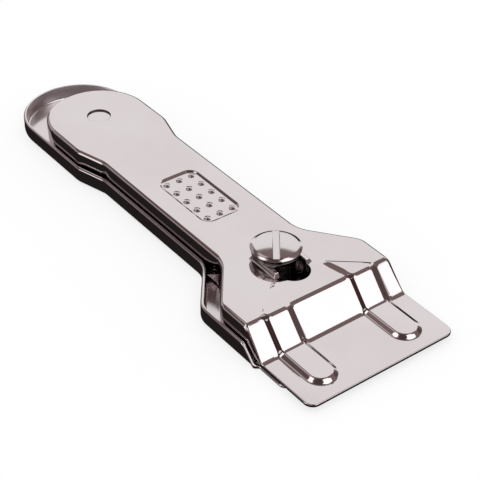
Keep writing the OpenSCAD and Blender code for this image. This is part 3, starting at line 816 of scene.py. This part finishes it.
def chrome(name, clean, dull, roughness, wave, ring=None, painted_shade=None, matt=0.35, low=0, matt_below=None):
    """Bright chrome: soft waviness of the pressed sheet, faint wiping scratches and a few pits. It is
    matt in a ring above the height low. If a colour is given, the ring is painted that darker colour:
    painted shade for the dark edge that the ring would mirror. It is duller below the height
    matt_below, on the floor, where the polishing wheel doesn't reach."""
    m = Nodes(name)
    m.shader.inputs["Metallic"].default_value = 1
    colour = m.colour(m.span(m.noise(55, 3, 0.55), 0.35, 0.7, 0, 1), clean, dull)
    apart = m.new("ShaderNodeSeparateXYZ")
    m.link(m.place, apart.inputs["Vector"])
    place = apart.outputs

    hairs = m.noise(1, 2, 0.6, m.stretched((2600, 160, 900), (0, 0, 0.5)))
    cross = m.noise(1, 2, 0.6, m.stretched((190, 3000, 900), (0, 0, -0.3)))
    scratches = m.math("MAXIMUM", m.span(hairs, 0.64, 0.8, 0, 1), m.span(cross, 0.66, 0.82, 0, 1))
    smudge = m.span(m.noise(90, 4, 0.6), 0.45, 0.75, 0, 0.05)
    rough = m.math("ADD", m.math("MULTIPLY", scratches, 0.05), smudge)
    if ring:
        within = ring_mask(m, place, ring, low)
        rough = m.math("ADD", rough, m.math("MULTIPLY", within, matt))
        # Painted shade: the ring's base colour is darkened to stand for the dark reflection at the
        # disc's edge
        if painted_shade:
            edge = m.new("ShaderNodeMix", data_type="RGBA")
            m.link(within, edge.inputs[0])
            m.link(colour, edge.inputs[6])
            edge.inputs[7].default_value = (*painted_shade, 1)
            m.link(edge.outputs[2], m.shader.inputs["Base Color"])
    if matt_below:
        dulled = m.span(place["Z"], matt_below, matt_below + 0.8 * MM, 0.09, 0)
        rough = m.math("ADD", rough, dulled)
    m.link(m.math("ADD", rough, roughness), m.shader.inputs["Roughness"])

    cells = m.new("ShaderNodeTexVoronoi", feature="F1")
    cells.inputs["Scale"].default_value = 120
    m.link(m.place, cells.inputs["Vector"])
    pits = m.span(cells.outputs["Distance"], 0.0, 0.035, -1, 0)
    waves = m.bump(m.noise(70, 1, 0.4), wave)
    marks = m.bump(pits, 0.02 * MM, waves)
    m.bump(scratches, -0.0006 * MM, marks)
    return m.material


def ground_steel(name, colour_a, colour_b, roughness, grain):
    """Ground or turned steel, with fine lines across the axis along which the grain's scale is
    largest."""
    m = Nodes(name)
    m.shader.inputs["Metallic"].default_value = 1
    lines = m.noise(1, 3, 0.7, m.stretched(grain))
    m.colour(m.span(lines, 0.3, 0.7, 0, 1), colour_a, colour_b)
    m.link(m.math("ADD", m.span(lines, 0.3, 0.75, 0, 0.18), roughness), m.shader.inputs["Roughness"])
    m.bump(lines, 0.004 * MM)
    return m.material


def paint(obj, material):
    obj.data.materials.clear()
    obj.data.materials.append(material)


CHROME, CHROME_DULL = (0.700, 0.646, 0.655), (0.672, 0.612, 0.618)
disc_edge = ((DISC_Y - OVERALL_L / 2) * MM, (DISC_D / 2 - 0.06) * MM, (DISC_D / 2 + 0.17) * MM)
round_wall = ((DISC_Y + REAR_ROOM - OVERALL_L / 2) * MM, 0, (BULB_W / 2 + NEST_GAP + 0.06) * MM)
# The ring round the sunk disc's edge gets a painted shade colour, a dark ring in place of the dark
# reflection of its wall and edge
cover_chrome = chrome("cover_chrome", CHROME, CHROME_DULL, 0.045, 0.03 * MM,
                      ring=disc_edge, painted_shade=(0.13, 0.11, 0.11))
tray_chrome = chrome("tray_chrome", CHROME, CHROME_DULL, 0.05, 0.04 * MM,
                     ring=round_wall, matt=0.33, low=1 * MM, matt_below=1.1 * MM)
screw_chrome = chrome("screw_chrome", (0.705, 0.655, 0.66), (0.66, 0.61, 0.61), 0.12, 0.01 * MM)
# Painted shade: the washer's chrome gets a near-black base colour that stands for the shade in the gap
# under the screw's head
washer_chrome = chrome("washer_chrome", (0.22, 0.20, 0.20), (0.17, 0.155, 0.155), 0.2, 0.01 * MM)
blade_steel = ground_steel("blade_steel", (0.50, 0.50, 0.51), (0.62, 0.62, 0.63), 0.2,
                           (40, 2600, 40))
post_steel = ground_steel("post_steel", (0.36, 0.34, 0.34), (0.48, 0.46, 0.45), 0.22,
                          (700, 700, 9000))

for piece, body, node, slot_name, material in (
        (cover, "cover", "upper_cover", "cover_chrome", cover_chrome),
        (tray, "tray", "lower_tray", "tray_chrome", tray_chrome),
        (screw, "screw", "clamp_screw", "screw_chrome", screw_chrome),
        (washer, "screw", "clamp_washer", "washer_chrome", washer_chrome),
        (post, "tray", "threaded_post", "post_steel", post_steel)):
    paint(piece, material)
    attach(piece, body)
    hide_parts(node)

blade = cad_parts["blade"]
paint(blade, blade_steel)


# Stage: a pale floor, and the light and dark cards that the chrome mirrors

# Share of plain white in what the camera and the mirrors see of the floor
FLOOR_GLOW = 0.75


def plain_material(name, colour, strength=None):
    """A matt colour or, where a strength is given, a light."""
    material = bpy.data.materials.new(name)
    material.use_nodes = True
    tree = material.node_tree
    if strength is None:
        tree.nodes["Principled BSDF"].inputs["Base Color"].default_value = (*colour, 1)
        tree.nodes["Principled BSDF"].inputs["Roughness"].default_value = 1
        tree.nodes["Principled BSDF"].inputs["Specular IOR Level"].default_value = 0
        return material
    tree.nodes.remove(tree.nodes["Principled BSDF"])
    glow = tree.nodes.new("ShaderNodeEmission")
    glow.inputs["Color"].default_value = (*colour, 1)
    glow.inputs["Strength"].default_value = strength
    tree.links.new(glow.outputs["Emission"], tree.nodes["Material Output"].inputs["Surface"])
    return material


def floor_material():
    """A white floor whose shadows look lighter to the camera than they fall."""
    material = plain_material("floor", (1, 1, 1))
    tree = material.node_tree
    glow = tree.nodes.new("ShaderNodeEmission")
    path = tree.nodes.new("ShaderNodeLightPath")
    seen = path.outputs["Is Camera Ray"]
    for ray in ("Is Glossy Ray", "Is Transmission Ray"):
        either = tree.nodes.new("ShaderNodeMath")
        either.operation = "MAXIMUM"
        tree.links.new(seen, either.inputs[0])
        tree.links.new(path.outputs[ray], either.inputs[1])
        seen = either.outputs["Value"]
    share = tree.nodes.new("ShaderNodeMath")
    share.operation = "MULTIPLY"
    share.inputs[1].default_value = FLOOR_GLOW
    mix = tree.nodes.new("ShaderNodeMixShader")
    tree.links.new(seen, share.inputs[0])
    tree.links.new(share.outputs["Value"], mix.inputs[0])
    tree.links.new(tree.nodes["Principled BSDF"].outputs["BSDF"], mix.inputs[1])
    tree.links.new(glow.outputs["Emission"], mix.inputs[2])
    tree.links.new(mix.outputs["Shader"], tree.nodes["Material Output"].inputs["Surface"])
    return material


def square(name, half, z, material):
    """A flat square, given by half its side and by its height, in metres."""
    mesh = bpy.data.meshes.new(name)
    mesh.from_pydata([(-half, -half, z), (half, -half, z), (half, half, z), (-half, half, z)], [],
                     [(0, 1, 2, 3)])
    obj = bpy.data.objects.new(name, mesh)
    bpy.context.scene.collection.objects.link(obj)
    obj.data.materials.append(material)
    return obj


def mirrored_only(obj):
    """Leaves the object to be seen by mirrors alone."""
    obj.visible_camera = obj.visible_diffuse = obj.visible_shadow = False
    obj.visible_transmission = obj.visible_volume_scatter = False


def card(name, azimuths, elevations, colour, strength=1, far=1.2):
    """A piece of a sphere that only mirrors see, between two azimuths, from +Y towards +X, and two
    elevations above the floor, in degrees. A card further off, in metres, lies behind a nearer one."""
    steps = 16
    points = []
    for el in np.radians(np.linspace(*elevations, steps + 1)):
        for az in np.radians(np.linspace(*azimuths, steps + 1)):
            points.append((far * math.sin(az) * math.cos(el), far * math.cos(az) * math.cos(el),
                           far * math.sin(el)))
    n = steps + 1
    faces = [(j * n + i, j * n + i + 1, (j + 1) * n + i + 1, (j + 1) * n + i)
             for j in range(steps) for i in range(steps)]
    mesh = bpy.data.meshes.new(name)
    mesh.from_pydata(points, [], faces)
    obj = bpy.data.objects.new(name, mesh)
    bpy.context.scene.collection.objects.link(obj)
    obj.data.materials.append(plain_material(name, colour, strength))
    mirrored_only(obj)


def make_cards():
    """The studio as the chrome mirrors it: a brown tent, darker cards and white lights in it."""
    white, pale, grey = (1, 1, 1), (0.62, 0.56, 0.56), (0.42, 0.38, 0.38)
    brown, dark, darkest = (0.215, 0.162, 0.158), (0.085, 0.058, 0.056), (0.06, 0.032, 0.03)
    card("tent_card", (-180, 180), (-4, 90), brown, far=1.5)
    card("ceiling_card", (-180, 180), (73, 90), dark, far=1.4)

    # Behind the camera and on both sides of it
    card("camera_card", (-172, -92), (56, 73), dark, far=1.4)
    card("camera_light", (-147, -92), (29, 56), (0.95, 0.88, 0.88), far=1.4)
    card("camera_low_card", (-172, -92), (-4, 29), darkest, far=1.3)
    card("wall_card", (190, 213), (-4, 54), darkest, far=1.1)
    card("right_card", (84, 130), (-4, 30), (0.12, 0.085, 0.085), far=1.4)
    card("left_light", (-86, -62), (-8, 45), white, 1.2)

    # Beyond the object, where the flat top and the plate mirror the large light
    card("edge_card", (-48, -4), (29, 50), (0.13, 0.09, 0.09), far=1.4)
    card("strip_light", (-58, -34), (9, 28), (0.40, 0.36, 0.36))
    card("horizon_card", (-58, -30), (-6, 6), (0.06, 0.045, 0.045))
    card("middle_card", (-30, 8), (4, 38), grey)
    card("high_light", (-28, 13), (54, 73), pale)
    card("back_light", (-80, -41), (51, 68), white, 1.6)
    card("flat_light", (9, 76), (-6, 46.5), white)
    card("low_card", (22, 64), (-8, 17), (0.03, 0.02, 0.02), far=1.1)

    # Ahead of the front edge, where the step and its folds mirror it
    card("rear_low_light", (133, 190), (9, 24), pale)
    card("slope_light", (133, 191), (24, 43), white, 1.6)
    card("crest_light", (127, 191), (42, 62), white, 1.6)
    card("over_light", (111, 180), (61, 73), white, 1.6)


def make_stage():
    floor = square("floor", 6, -0.01 * MM, floor_material())
    floor.visible_glossy = False

    # Below the horizon the walls mirror a dark table, which makes them look black
    table = square("dark_table", 9, -0.12, plain_material("dark_table", (0.02, 0.016, 0.016), 1))
    mirrored_only(table)
    make_cards()

    scene = bpy.context.scene
    scene.view_settings.view_transform = "Standard"
    scene.world = bpy.data.worlds.new("tent")
    scene.world.use_nodes = True
    sky = scene.world.node_tree.nodes["Background"]
    sky.inputs["Color"].default_value = (1, 1, 1, 1)
    sky.inputs["Strength"].default_value = 1


make_stage()
